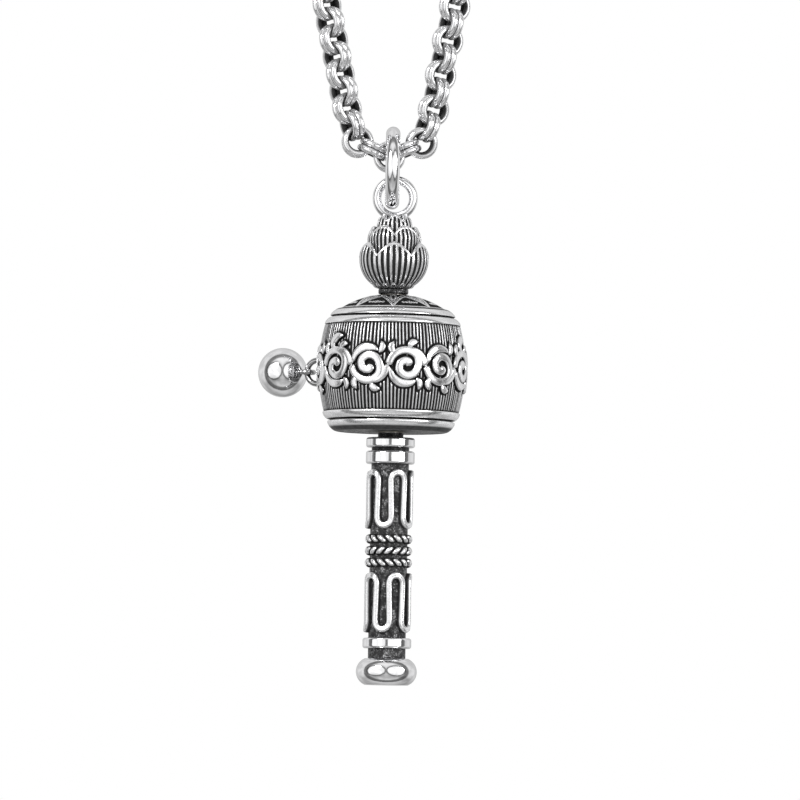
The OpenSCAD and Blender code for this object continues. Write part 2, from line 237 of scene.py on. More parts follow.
class Nodes:
    """A material under construction."""

    def __init__(self, name):
        self.material = bpy.data.materials.new(name)
        self.material.use_nodes = True
        self.tree = self.material.node_tree
        self.shader = self.tree.nodes["Principled BSDF"]
        self.shader.inputs["Metallic"].default_value = 1.0

    def node(self, kind, **settings):
        """A node with these properties and input values."""
        made = self.tree.nodes.new(kind)
        for key, value in settings.items():
            if key in made.bl_rna.properties:
                setattr(made, key, value)
            else:
                made.inputs[key.replace("_", " ")].default_value = value
        return made

    def place(self):
        """Places on the surface, in millimetres."""
        coordinates = self.node("ShaderNodeTexCoord")
        scaled = self.node("ShaderNodeVectorMath", operation="SCALE", Scale=1 / MM)
        feed(self.tree, coordinates.outputs["Object"], scaled.inputs[0])
        return scaled.outputs[0]

    def noise(self, size, detail, stretch=(1, 1, 1), rough=0.55):
        """Noise with blotches of about this size in millimetres."""
        mapping = self.node("ShaderNodeMapping", Scale=stretch)
        feed(self.tree, self.place(), mapping.inputs["Vector"])
        made = self.node("ShaderNodeTexNoise", Scale=1 / size, Detail=detail, Roughness=rough)
        feed(self.tree, mapping.outputs[0], made.inputs["Vector"])
        return made.outputs["Fac"]

    def spread(self, value, low_in, high_in, low_out, high_out):
        """Value moved from one range to another, and kept inside it."""
        made = self.node("ShaderNodeMapRange")
        for key, number in zip(("From Min", "From Max", "To Min", "To Max"),
                               (low_in, high_in, low_out, high_out)):
            made.inputs[key].default_value = number
        feed(self.tree, value, made.inputs["Value"])
        return made.outputs[0]

    def ramp(self, value, stops):
        """Colour by value. Each stop has a place, and a grey or a colour."""
        colours = [(place, (*shade, 1) if isinstance(shade, tuple) else silver(shade))
                   for place, shade in stops]
        return colour_ramp(self.tree, value, colours)

    def mix(self, factor, first, second):
        """The first colour where factor is 0, the second where it is 1."""
        made = self.node("ShaderNodeMix", data_type="RGBA")
        for value, socket in ((factor, made.inputs[0]), (first, made.inputs[6]), (second, made.inputs[7])):
            feed(self.tree, value, socket)
        return made.outputs[2]

    def times(self, first, second):
        """Product of two values."""
        made = self.node("ShaderNodeMath", operation="MULTIPLY")
        feed(self.tree, first, made.inputs[0])
        feed(self.tree, second, made.inputs[1])
        return made.outputs[0]

    def bump(self, height, depth, after=None):
        """Bump of this depth in metres, on top of an earlier bump if there is one."""
        made = self.node("ShaderNodeBump", Strength=1.0, Distance=depth)
        feed(self.tree, height, made.inputs["Height"])
        if after is not None:
            feed(self.tree, after, made.inputs["Normal"])
        return made.outputs[0]

    def use(self, socket, value):
        """Gives the shader this value or node output."""
        feed(self.tree, value, self.shader.inputs[socket])


OXIDE = (0.03, 0.03, 0.032, 1)
# Near black for painted shade, put into the cast skin's recesses
PAINTED_SHADE = (0.006, 0.006, 0.007, 1)
FLECK = (0.5, 0.5, 0.51, 1)
RIPPLE_DEPTH = 0.010 * MM
MARK_DEPTH = 0.0006 * MM
PIT_DEPTH = 0.09 * MM
GRAIN_DEPTH = 0.02 * MM
TURNING_DEPTH = 0.002 * MM
FIBRE_DEPTH = 0.02 * MM


def crevices(n, reach, dark=0.2, light=0.7):
    """1 in a recess narrower than reach, 0 in the open."""
    shade = n.node("ShaderNodeAmbientOcclusion", samples=16, Distance=reach)
    return n.spread(shade.outputs["AO"], dark, light, 1, 0)


def polished(name, grey=0.93, rough=0.07, oxide_reach=None, tarnish=0.06):
    """Mirror silver with faint polishing marks and cloudy tarnish, and with oxide left in its corners."""
    n = Nodes(name)
    cloud = n.noise(1.6, detail=5.0)
    clean = n.ramp(cloud, [(0.3, grey - tarnish), (0.62, grey)])
    if oxide_reach:
        clean = n.mix(crevices(n, oxide_reach), clean, OXIDE)
    n.use("Base Color", clean)
    marks = n.noise(0.05, detail=3.0, stretch=(1, 1, 7))
    n.use("Roughness", n.spread(marks, 0.35, 0.75, rough * 0.7, rough * 1.9))
    ripple = n.bump(n.noise(0.9, detail=2.0), RIPPLE_DEPTH)
    n.use("Normal", n.bump(marks, MARK_DEPTH, after=ripple))
    return n.material


PATINA_SHINE = 0.02


def relief(name, dark, bright, edge, rough, oxide_reach=None, grain=0.004 * MM):
    """Oxidised silver whose raised parts are rubbed bright. The mesh says how high each point stands:
    from the first edge to the second, the black patina gives way to silver."""
    n = Nodes(name)
    height = n.node("ShaderNodeAttribute", attribute_name="rise").outputs["Fac"]
    blotch = n.noise(0.35, detail=6.0, rough=0.65)
    rubbed = n.spread(height, edge[0], edge[1], 0, 1)
    worn = n.spread(blotch, 0.3, 0.62, 0.72, 1.0)
    rubbed = n.times(rubbed, worn)
    if oxide_reach:
        rubbed = n.times(rubbed, n.spread(crevices(n, oxide_reach), 0, 1, 1, 0))
    base = n.ramp(blotch, [(0.3, dark), (0.75, dark * 2.6)])
    n.use("Base Color", n.mix(rubbed, base, silver(bright)))
    n.use("Metallic", rubbed)
    n.use("Specular IOR Level", PATINA_SHINE)
    n.use("Roughness", n.spread(rubbed, 0, 1, rough[0], rough[1]))
    n.use("Normal", n.bump(n.noise(0.09, detail=4.0), grain))
    return n.material


CAST_SHINE = 0.16


def cast_dark(name):
    """Blackened cast silver: a pitted skin with a few bright flecks, with black painted shade in its corners.
    """
    n = Nodes(name)
    blotch = n.noise(0.5, detail=8.0, rough=0.75)
    grain = n.noise(0.12, detail=3.0)
    ground = n.ramp(blotch, [(0.36, 0.008), (0.5, 0.03), (0.66, 0.14)])
    flecks = n.spread(n.times(blotch, grain), 0.29, 0.37, 0, 1)
    skin = n.mix(flecks, ground, FLECK)
    # Painted shade: near black where the surface is occluded within 0.7 mm, where the wires and collars meet
    # it
    n.use("Base Color", n.mix(crevices(n, 0.7 * MM, 0.3, 0.85), skin, PAINTED_SHADE))
    n.use("Metallic", flecks)
    n.use("Specular IOR Level", CAST_SHINE)
    n.use("Roughness", n.spread(grain, 0.3, 0.7, 0.28, 0.5))
    pits = n.bump(blotch, PIT_DEPTH)
    n.use("Normal", n.bump(grain, GRAIN_DEPTH, after=pits))
    return n.material


def satin(name, grey, rough, tint=(1, 1, 1)):
    """Machined metal with turning marks."""
    n = Nodes(name)
    turned = n.noise(0.06, detail=2.0, stretch=(0.2, 0.2, 3))
    light = tuple(grey * t for t in tint)
    shade = tuple(grey * t * 0.72 for t in tint)
    n.use("Base Color", n.ramp(turned, [(0.3, shade), (0.7, light)]))
    n.use("Roughness", n.spread(turned, 0.3, 0.7, rough * 0.8, rough * 1.3))
    n.use("Normal", n.bump(turned, TURNING_DEPTH))
    return n.material


def paper(name):
    """Thin handmade paper: fibres and uneven colour."""
    n = Nodes(name)
    n.use("Metallic", 0.0)
    fibres = n.noise(0.18, detail=8.0, stretch=(1, 1, 4), rough=0.7)
    cloud = n.noise(2.5, detail=3.0)
    base = n.ramp(cloud, [(0.3, (0.62, 0.52, 0.34)), (0.7, (0.80, 0.71, 0.51))])
    n.use("Base Color", n.mix(n.spread(fibres, 0.35, 0.7, 0, 0.35), base, (0.45, 0.36, 0.22, 1)))
    n.use("Roughness", 0.85)
    n.use("Normal", n.bump(fibres, FIBRE_DEPTH))
    return n.material


# ---------------------------------------------------------------- chain

STEP = 3.48 * MM
SADDLE = Vector((-0.65 * MM, 0, at_h(52.13)))
LEFT_STEPS = (155.5, 108.5, 102, 102, 102, 102)
RIGHT_STEPS = (24.5, 71.5, 79.5, 79.5, 79.5, 79.5)
ROLL_RATE = 14
LEFT_ROLL = 45
RIGHT_ROLL = 30
LINK_R = 1.245 * MM
LINK_WIRE_R = 0.32 * MM
PAIR_OFFSET = LINK_WIRE_R + 0.01 * MM
ROUTE_POINTS_PER_STEP = 4


def along(degrees):
    """Direction in the picture plane, counted from +X towards +Z."""
    a = math.radians(degrees)
    return Vector((math.cos(a), 0, math.sin(a)))


def corners(steps):
    """Middles of the pairs that stand at the ends of the steps, from the saddle up."""
    places = [SADDLE.copy()]
    for direction in steps:
        places.append(places[-1] + STEP * along(direction))
    return places


def on_strand(place, direction, roll):
    """Local frame on the chain, with +Z along it."""
    return (Matrix.Translation(place) @ Matrix.Rotation(math.radians(90 - direction), 4, "Y")
            @ Matrix.Rotation(math.radians(roll), 4, "Z"))


def add_pair(parts, matrix):
    """Two rings side by side."""
    for side in (-1, 1):
        place = matrix @ Matrix.Translation((0, side * PAIR_OFFSET, 0)) @ Matrix.Rotation(math.pi / 2, 4, "X")
        parts.add(*torus(place, LINK_R, LINK_WIRE_R))


def make_chain(material):
    """Double rings, each pair about a quarter turn from the next, in two strands from the saddle."""
    parts = Parts()
    add_pair(parts, on_strand(SADDLE, 0, 0))
    route = []
    for steps, most, side in ((LEFT_STEPS, LEFT_ROLL, -1), (RIGHT_STEPS, RIGHT_ROLL, 1)):
        places = corners(steps)
        add_pair(parts, on_strand((places[0] + places[1]) / 2, steps[0], 90))
        for i in range(1, len(steps)):
            lean = (steps[i - 1] + steps[i]) / 2
            add_pair(parts, on_strand(places[i], lean, min(most, ROLL_RATE * (2 * i - 1))))
            add_pair(parts, on_strand((places[i] + places[i + 1]) / 2, steps[i],
                                      90 + min(most, ROLL_RATE * 2 * i)))
        route = places[::-1] + route if side < 0 else route + places[1:]
    chain = parts.build("chain_links", material, "chain", "polished_silver",
                        ("chain_saddle", "chain_left", "chain_right"))
    path = []
    for first, second in zip(route, route[1:]):
        path += [first.lerp(second, t / ROUTE_POINTS_PER_STEP) for t in range(ROUTE_POINTS_PER_STEP)]
    path.append(route[-1])
    return chain, path


# ---------------------------------------------------------------- drum

FLUTES = 120
FLUTE_DEPTH = 0.15 * MM
FLUTE_SAMPLES = 10
FLUTE_EDGE = (0.22, 0.88)
FLUTE_SEED = 5
FAINTEST_FLUTE = 0.72
BARREL_ROWS = 64
BARREL_WALL = 1.25 * MM
# The flutes fade in over these distances from the ornament's edge
HALO = (0.1 * MM, 0.26 * MM)
MOTIF_HEIGHT = 0.235 * MM
CURL_COUNT = 12
LUG_SQUEEZE = 0.3
WEIGHT_ANGLE = math.radians(147)


def barrel_radius(z):
    """The barrel's side is an arc through its end radius and its middle radius."""
    end = radius("upper_rim")
    middle = radius("drum_shell")
    half = (high("drum_shell") - low("drum_shell")) / 2
    centre = (high("drum_shell") + low("drum_shell")) / 2
    rise = middle - end
    arc = (half * half + rise * rise) / (2 * rise)
    return middle - arc + np.sqrt(arc * arc - (z - centre) ** 2)


def vine_strokes(tall_leaf):
    """One bay of a running vine, flat, in millimetres from its middle: knots, and the stroke's width at
    its start, middle and end. The stem passes over a curl, and a leaf closes the bay below."""
    curl = [(-1.9, 0), (-1.5, 0.85), (-0.75, 1.4), (0.15, 1.48), (0.92, 0.98), (1.1, 0.1), (0.68, -0.75),
            (-0.12, -0.98), (-0.76, -0.5), (-0.68, 0.22), (-0.05, 0.45), (0.3, -0.02)]
    strokes = [
        (curl, (0.62, 0.68, 0.7)),
        ([(0.0, 1.5), (0.8, 1.42), (1.45, 0.92), (1.9, 0.0)], (0.3, 0.6, 0.62)),
        ([(-1.72, -0.3), (-1.4, -1.15), (-0.62, -1.72), (0.35, -1.72), (0.9, -1.4)], (0.25, 0.72, 0.12)),
        ([(0.98, -1.2), (1.32, -1.75), (1.2, -2.35)], (0.2, 0.55, 0.1)),
        ([(-1.3, 1.1), (-1.62, 1.75), (-1.35, 2.35)], (0.3, 0.6, 0.1)),
    ]
    if tall_leaf:
        strokes.append(([(-0.5, 1.6), (-0.72, 2.3), (-0.2, 2.85), (0.62, 2.95)], (0.3, 0.8, 0.1)))
        strokes.append(([(0.35, 1.7), (0.82, 2.1), (1.35, 2.1)], (0.25, 0.5, 0.1)))
    else:
        strokes.append(([(0.1, 1.8), (0.5, 2.25), (1.1, 2.35)], (0.3, 0.62, 0.1)))
    return strokes


STROKE_SAMPLES = 7
STROKE_TIP = 0.22 * MM
STROKE_RAMP = 0.3 * MM
# Section of a stroke: place across, in widths, and height, from 0 at the barrel to 1
STROKE_SECTION = ((-0.58, -0.35), (-0.55, 0.4), (-0.48, 0.8), (-0.34, 0.97), (-0.12, 1.0), (0.12, 1.0),
                  (0.34, 0.97), (0.48, 0.8), (0.55, 0.4), (0.58, -0.35))


def stroke_line(knots):
    """Middle line of a stroke, in metres."""
    return spline(knots, STROKE_SAMPLES) * MM


def stroke_width(widths, count):
    """Width along a stroke, in millimetres, from those at its start, middle and end."""
    start, middle, end = widths
    t = np.arange(count) / (count - 1)
    outer = np.where(t < 0.5, start, end)
    return outer + (middle - outer) * np.sin(math.pi * t)


def stroke_mesh(knots, widths, turn):
    """A raised stroke on the barrel. Its flat places are lengths round the barrel's middle and heights."""
    line = stroke_line(knots)
    count = len(line)
    step = np.gradient(line, axis=0)
    step /= np.linalg.norm(step, axis=1)[:, None]
    side = np.stack([-step[:, 1], step[:, 0]], axis=1)
    gone = np.concatenate([[0], np.cumsum(np.linalg.norm(np.diff(line, axis=0), axis=1))])
    tip = np.minimum(gone, gone[-1] - gone)
    width = stroke_width(widths, count)
    width = width * (0.12 + 0.88 * np.sqrt(1 - (1 - np.clip(tip / STROKE_TIP, 0, 1)) ** 2))
    tall = 0.5 + 0.5 * smooth(0, STROKE_RAMP, tip)
    per_ring = len(STROKE_SECTION)
    middle_z = (low("drum_shell") + high("drum_shell")) / 2
    points = []
    rise = []
    for i in range(count):
        for across, up in STROKE_SECTION:
            s, z = line[i] + side[i] * across * width[i] * MM
            lift = up * MOTIF_HEIGHT * (tall[i] if up > 0 else 1)
            z = z + middle_z
            r = barrel_radius(z) + lift
            a = turn + s / radius("drum_shell")
            points.append((r * math.cos(a), r * math.sin(a), z))
            rise.append(max(0, up))
    faces = grid_faces(count, per_ring)
    last = (count - 1) * per_ring
    faces.append(tuple(range(per_ring))[::-1])
    faces.append(tuple(range(last, last + per_ring)))
    return points, faces, rise


def curl_turn(i):
    """Angle of a bay's middle round the drum."""
    return WEIGHT_ANGLE + (i + 0.5) * 2 * math.pi / CURL_COUNT


def curl_strokes(i):
    """Bays turn up and down by turns. The two beside the weight's lug are squeezed, to leave it room."""
    flip = 1 if i % 2 == 0 else -1
    left = LUG_SQUEEZE if i == 0 else 1
    right = LUG_SQUEEZE if i == CURL_COUNT - 1 else 1
    return [([(x * (left if x < 0 else right), flip * y) for x, y in knots], widths)
            for knots, widths in vine_strokes(i % 4 == 2)]


def make_motifs(material):
    """The raised vine round the drum."""
    parts = Parts()
    for i in range(CURL_COUNT):
        for knots, widths in curl_strokes(i):
            parts.add(*stroke_mesh(knots, widths, curl_turn(i)))
    parts.build("scroll_ornament", material, "wheel", "polished_silver", ("drum_ornament",))


def stroke_clearance(turns, z):
    """Distance from points on the barrel to the edge of the nearest stroke, in metres."""
    middle_r = radius("drum_shell")
    samples = []
    for i in range(CURL_COUNT):
        for knots, widths in curl_strokes(i):
            line = stroke_line(knots)
            for (x, y), wide in zip(line, stroke_width(widths, len(line))):
                samples.append(((curl_turn(i) + x / middle_r) % (2 * math.pi), y, wide * MM / 2))
    tree = kdtree.KDTree(len(samples))
    for i, (a, y, _) in enumerate(samples):
        tree.insert((middle_r * math.cos(a), middle_r * math.sin(a), y), i)
    tree.balance()
    out = np.empty(len(turns))
    for i, (a, y) in enumerate(zip(turns, z)):
        _, j, distance = tree.find((middle_r * math.cos(a), middle_r * math.sin(a), y))
        out[i] = distance - samples[j][2]
    return out


def make_barrel(material):
    """The drum's shell, with fine upright flutes that stop short of the ornaments."""
    columns = FLUTES * FLUTE_SAMPLES
    z0, z1 = low("drum_shell"), high("drum_shell")
    turns = np.linspace(0, 2 * math.pi, columns, endpoint=False)
    z = np.linspace(z0, z1, BARREL_ROWS)[:, None]
    wander = 0.9 * np.sin(5 * turns + 1) + 0.6 * np.sin(11 * turns) + 0.35 * np.sin(23 * turns + 2)
    sway = 0.25 * np.sin(z / MM * 0.9 + 9 * turns)
    ridge = 0.5 + 0.5 * np.cos(FLUTES * turns + 0.35 * wander[None, :] + sway)
    rng = random.Random(FLUTE_SEED)
    strength = np.repeat([rng.uniform(FAINTEST_FLUTE, 1.0) for _ in range(FLUTES)], FLUTE_SAMPLES)
    ridge = smooth(*FLUTE_EDGE, ridge) * strength[None, :]
    all_turns = np.broadcast_to(turns[None, :], ridge.shape)
    flat_z = np.broadcast_to(z - (z0 + z1) / 2, ridge.shape)
    clear = stroke_clearance(all_turns.ravel(), flat_z.ravel()).reshape(ridge.shape)
    ridge = ridge * smooth(*HALO, clear)
    outer = barrel_radius(z) - FLUTE_DEPTH * (1 - ridge)
    inner_r = radius("drum_shell") - BARREL_WALL
    inner_z = np.array([z1, z0])[:, None]
    r = np.concatenate([outer, np.full((2, columns), inner_r)])
    zz = np.concatenate([np.broadcast_to(z, outer.shape), np.broadcast_to(inner_z, (2, columns))])
    rise = np.concatenate([ridge, np.zeros((2, columns))])
    points, faces = revolve(r, zz, turns)
    build("fluted_barrel", points, faces, material, "wheel", ("drum_shell",), rise)


# Rounded rims of the drum: node, radius at its foot and at its top, and its bulge, in millimetres
RIMS = (("base_rim", 5.55, 6.29, 0.34), ("lower_rim", 6.36, 6.77, 0.2),
        ("upper_rim", 6.7, 6.22, 0.2), ("top_rim", 6.16, 5.42, 0.24))
RIM_GAP = 0.08 * MM
RIM_COLUMNS, RIM_ROWS = 256, 22
# Where black gives way to silver, as parts of a rim's height from the edge: at most edges, at the foot
# of the lowest rim, where the black is painted shade on the drum's underside, and at the top of the highest
EDGE_LINE = (0, 0.08)
FOOT_SHADE = (0.22, 0.85)
TOP_SHADE = (0.12, 0.42)


def make_rims(material):
    """Sloping rounded bands, with a fine black line between each and the next, and painted shade towards the
    foot of the lowest.
    """
    turns = np.linspace(0, 2 * math.pi, RIM_COLUMNS, endpoint=False)
    all_round = np.zeros((1, RIM_COLUMNS))
    t = np.linspace(0, 1, RIM_ROWS)
    for node, foot_r, top_r, bulge in RIMS:
        z0, z1 = low(node) + RIM_GAP, high(node) - RIM_GAP
        swell = bulge * np.sqrt(np.clip(1 - (2 * t - 1) ** 2, 0, 1))
        face_r = (foot_r + (top_r - foot_r) * t + swell) * MM
        face_r = face_r - (face_r.max() - radius(node))
        inner_r = radius("dome_cap") + 0 * t[:2]
        r = np.concatenate([face_r, inner_r])[:, None] + all_round
        z = np.concatenate([z0 + (z1 - z0) * t, [z1, z0]])[:, None] + all_round
        # Painted shade: the lowest rim is blackened towards its foot, on the drum's underside
        above = smooth(*(FOOT_SHADE if node == "base_rim" else EDGE_LINE), t)
        below = smooth(*(TOP_SHADE if node == "top_rim" else EDGE_LINE), 1 - t)
        rise = np.concatenate([above * below, [0, 0]])[:, None] + all_round
        points, faces = revolve(r, z, turns)
        build(node.replace("rim", "band"), points, faces, material, "wheel", (node,), rise)


STAR_POINTS = 8
DOME_ARC_R = 9.54 * MM
DOME_COLUMNS, DOME_ROWS = 960, 90
DOME_WALL = 0.75 * MM
STAR_TIP = 0.985
STAR_VALLEY_R = 2.75 * MM
# The inner star: how far its tip stands back, and its valley's place as parts of the outer one's
INSET_TIP_GAP = 0.75 * MM
INSET_VALLEY = (0.86, 0.80)
LEAF_ROOT_R = 1.9 * MM
LEAF_TIP_GAP = 1.2 * MM
LEAF_HALF_WIDTH = 0.26 * MM
DISC_AT_R = 4.25 * MM
BEADS_AT_R = 4.3 * MM
BEAD_PLACES = (0.35 * MM, 0.68 * MM)
DISC_EDGE = (0.2 * MM, 0.32 * MM)
BEAD_EDGE = (0.12 * MM, 0.22 * MM)
# Half widths of the star's outline, of the line inside it and of the leaf's outline
OUTLINE_HALF, INSET_HALF, LEAF_HALF = 0.13 * MM, 0.07 * MM, 0.085 * MM
DOME_RELIEF = 0.05 * MM


def line_distance(x, y, ax, ay, bx, by):
    """Distance from points to the straight line between two others."""
    dx, dy = bx - ax, by - ay
    t = np.clip(((x - ax) * dx + (y - ay) * dy) / (dx * dx + dy * dy), 0, 1)
    return np.hypot(x - ax - t * dx, y - ay - t * dy)


def make_dome(material):
    """The domed cap: a star of thin raised lines with a leaf in each ray and beads between."""
    outer_r = radius("dome_cap")
    inner_r = radius("upper_bush")
    centre_z = high("dome_cap") - math.sqrt(DOME_ARC_R ** 2 - inner_r ** 2)
    turns = np.linspace(0, 2 * math.pi, DOME_COLUMNS, endpoint=False)
    r = np.linspace(outer_r, inner_r, DOME_ROWS)[:, None]
    sector = 2 * math.pi / STAR_POINTS
    local = (turns + math.pi / 2 + sector / 2) % sector - sector / 2
    x = r * np.cos(local)[None, :]
    y = np.abs(r * np.sin(local)[None, :])
    tip = outer_r * STAR_TIP
    vx, vy = STAR_VALLEY_R * math.cos(sector / 2), STAR_VALLEY_R * math.sin(sector / 2)
    outline = line_distance(x, y, tip, 0, vx, vy)
    inset = line_distance(x, y, tip - INSET_TIP_GAP, 0, vx * INSET_VALLEY[0], vy * INSET_VALLEY[1])
    leaf_t = np.clip((x - LEAF_ROOT_R) / (tip - LEAF_TIP_GAP - LEAF_ROOT_R), 0, 1)
    off_leaf = np.where((leaf_t > 0) & (leaf_t < 1), 0, 1)
    leaf = np.abs(y - LEAF_HALF_WIDTH * np.sin(math.pi * leaf_t)) + off_leaf
    height = np.zeros(x.shape)
    for distance, half in ((outline, OUTLINE_HALF), (inset, INSET_HALF), (leaf, LEAF_HALF)):
        height = np.maximum(height, 1 - smooth(half * 0.55, half * 1.45, distance))
    disc = np.hypot(x - DISC_AT_R * math.cos(sector / 2), y - DISC_AT_R * math.sin(sector / 2))
    height = np.maximum(height, 1 - smooth(*DISC_EDGE, disc))
    for away in BEAD_PLACES:
        side_a = sector / 2 - away / BEADS_AT_R
        bead = np.hypot(x - BEADS_AT_R * math.cos(side_a), y - BEADS_AT_R * math.sin(side_a))
        height = np.maximum(height, 1 - smooth(*BEAD_EDGE, bead))
    rim = smooth(outer_r - 0.16 * MM, outer_r - 0.06 * MM, r) + 0 * x
    height = np.maximum(height, rim * 0.6)
    z = centre_z + np.sqrt(DOME_ARC_R ** 2 - r ** 2) + 0 * x - DOME_RELIEF * (1 - height)
    flat = np.zeros((2, DOME_COLUMNS))
    under = np.array([[inner_r], [outer_r]]) + flat
    under_z = np.array([[high("dome_cap") - DOME_WALL], [low("dome_cap")]]) + flat
    rr = np.concatenate([r + 0 * x, under])
    zz = np.concatenate([z, under_z])
    rise = np.concatenate([height, flat])
    points, faces = revolve(rr, zz, turns)
    build("star_dome", points, faces, material, "wheel", ("dome_cap",), rise)


WINDS = 14
POINTS_PER_WIND = 40
PAPER_THICK = 0.11 * MM
PAPER_MARGIN = 0.1 * MM


def make_prayer_scroll(material):
    """One long strip of paper wound round its sleeve."""
    inner, outer = radius("scroll_sleeve"), radius("prayer_scroll")
    z0, z1 = low("prayer_scroll"), high("prayer_scroll")
    u = np.arange(WINDS * POINTS_PER_WIND + 1) / POINTS_PER_WIND
    r = inner + PAPER_MARGIN / 2 + (outer - inner - 2 * PAPER_MARGIN) * u / WINDS
    points = []
    for turn, rr in zip(u * 2 * math.pi, r):
        fray = 0.05 * MM * math.sin(turn * 3.7) + 0.04 * MM * math.sin(turn * 1.3 + 1)
        bottom, top = z0 + PAPER_MARGIN + fray, z1 - PAPER_MARGIN + fray
        for radial, z in ((rr, bottom), (rr + PAPER_THICK, bottom), (rr + PAPER_THICK, top), (rr, top)):
            points.append((radial * math.cos(turn), radial * math.sin(turn), z))
    count = len(u)
    faces = grid_faces(count, 4)
    faces.append((3, 2, 1, 0))
    faces.append(tuple(range(4 * count - 4, 4 * count)))
    build("paper_scroll", points, faces, material, "wheel", ("prayer_scroll",))


# ---------------------------------------------------------------- finial

# Each tier: name, CAD node, radius of its side's arc, that arc's middle height, how much narrower than
# the lowest tier, foot height, valley height, tip height, angle of the first valley, grooves in each
# petal, roundness of the petals. Lengths are in millimetres.
TIERS = (
    ("lotus_lower", "lower_petals", 2.97, 41.95, 0.0, 39.07, 42.3, 43.6, -60, 5, 1.8),
    ("lotus_upper", "upper_petals", 2.0, 43.85, 0.8, 41.6, 44.4, 45.3, -90, 5, 2.6),
    ("lotus_top", "top_petals", 1.75, 45.1, 1.64, 43.8, 45.8, 46.5, -60, 3, 2.0),
)
PETALS = 6
GROOVE_DEPTH = 0.17
BUD_R = 3.52
SKIRT_TAPER = 0.1
TIER_COLUMNS, TIER_ROWS = 900, 84
TIER_THICK = 0.2
PETAL_PUFF = 0.06
RIM_RISE = 0.05
LIP_ROUND = 0.12
# Where a petal's bright rim ends, its grooves start, and the parting between petals ends
RIM_END = (0.2, 0.32)
GROOVE_START = (0.26, 0.38)
PARTING_END = (0.07, 0.17)


def make_tier(tier, material):
    """A ring of ribbed petals with thick bright edges. Below its arc's middle, an upper tier's side runs
    down as a straight skirt behind the tier below."""
    name, node, disc_r, disc_h, narrower, foot, valley, tip, first, grooves, roundness = tier
    turns = np.linspace(0, 2 * math.pi, TIER_COLUMNS, endpoint=False)
    sector = 2 * math.pi / PETALS
    u = ((turns - math.radians(first)) % sector) / sector
    across = np.abs(2 * u - 1)
    edge = valley + (tip - valley) * (1 - across ** roundness)
    v = np.linspace(0, 1, TIER_ROWS)[:, None]
    h = foot + (edge[None, :] - foot) * v
    has_skirt = name != "lotus_lower"
    arc_h = np.where((h < disc_h) & has_skirt, disc_h, h)
    wide = BUD_R - narrower - disc_r + np.sqrt(np.maximum(disc_r ** 2 - (arc_h - disc_h) ** 2, 0))
    wide = wide - SKIRT_TAPER * np.maximum(disc_h - h, 0) * has_skirt
    from_edge = (edge[None, :] - h) * 0.82
    side_gap = (1 - across)[None, :] * sector / 2 * wide
    groove = 0.5 + 0.5 * np.cos(2 * math.pi * u * (grooves + 1))[None, :] + 0 * h
    groove = smooth(0.24, 0.62, groove) * (np.minimum(u, 1 - u) > 0.5 / (grooves + 1))[None, :]
    groove = groove * smooth(*GROOVE_START, from_edge) * smooth(0.1, 0.5, h - foot)
    parting = (1 - smooth(*PARTING_END, side_gap)) * smooth(0.12, 0.28, from_edge)
    hollow = np.maximum(groove, parting)
    rim = 1 - smooth(*RIM_END, from_edge)
    puff = PETAL_PUFF * np.cos(across * math.pi / 2)[None, :] * smooth(0, 0.6, h - foot)
    r = wide - PETAL_PUFF + puff - GROOVE_DEPTH * hollow - RIM_RISE * (1 - rim) * (1 - hollow)
    r = r - LIP_ROUND * (1 - smooth(0, 0.1, from_edge)) ** 2
    inner = r[-1:, :] - TIER_THICK
    inner_low = np.full((1, TIER_COLUMNS), max(0.95, wide[0].min() - 0.5))
    rr = np.concatenate([r, inner, inner_low])
    hh = np.concatenate([h, h[-1:, :] - LIP_ROUND, np.full((1, TIER_COLUMNS), foot)])
    rise = (1 - hollow) * (0.75 + 0.25 * rim)
    rise = np.concatenate([rise, np.ones((1, TIER_COLUMNS)) * 0.3, np.zeros((1, TIER_COLUMNS))])
    points, faces = revolve(rr * MM, at_h(hh), turns)
    build(name, points, faces, material, "handle", (node,), rise)


# Half section of the bud's dark heart, behind the petals: radius and height in millimetres
HEART = ((0.91, 39.1), (1.3, 39.15), (2.3, 40.1), (2.42, 41.2), (2.44, 42.9), (1.62, 43.9), (1.4, 44.6),
         (1.38, 45.5), (0.91, 45.62), (0.5, 45.62), (0.5, 41.5), (0.91, 41.45))
HEART_COLUMNS = 96


def make_heart(material):
    """The bud's dark inside, seen only between the petals."""
    turns = np.linspace(0, 2 * math.pi, HEART_COLUMNS, endpoint=False)
    all_round = np.zeros((1, HEART_COLUMNS))
    r = np.array([p[0] for p in HEART])[:, None] * MM + all_round
    h = at_h(np.array([p[1] for p in HEART]))[:, None] + all_round
    points, faces = revolve(r, h, turns)
    build("bud_heart", points, faces, material, "handle", ("bud_core",))


# Scallops at the foot of the bud, in millimetres
SCALLOPS = 14
SCALLOP_HALF = 0.31
SCALLOP_TALL = 0.52
SCALLOP_PUFF = 0.12
SCALLOP_ROWS, SCALLOP_ACROSS = 9, 13
CALYX_H = 39.12
# Radius of the calyx at its foot, and how much it widens over a scallop's height
CALYX_R, CALYX_FLARE = 1.5, 0.62


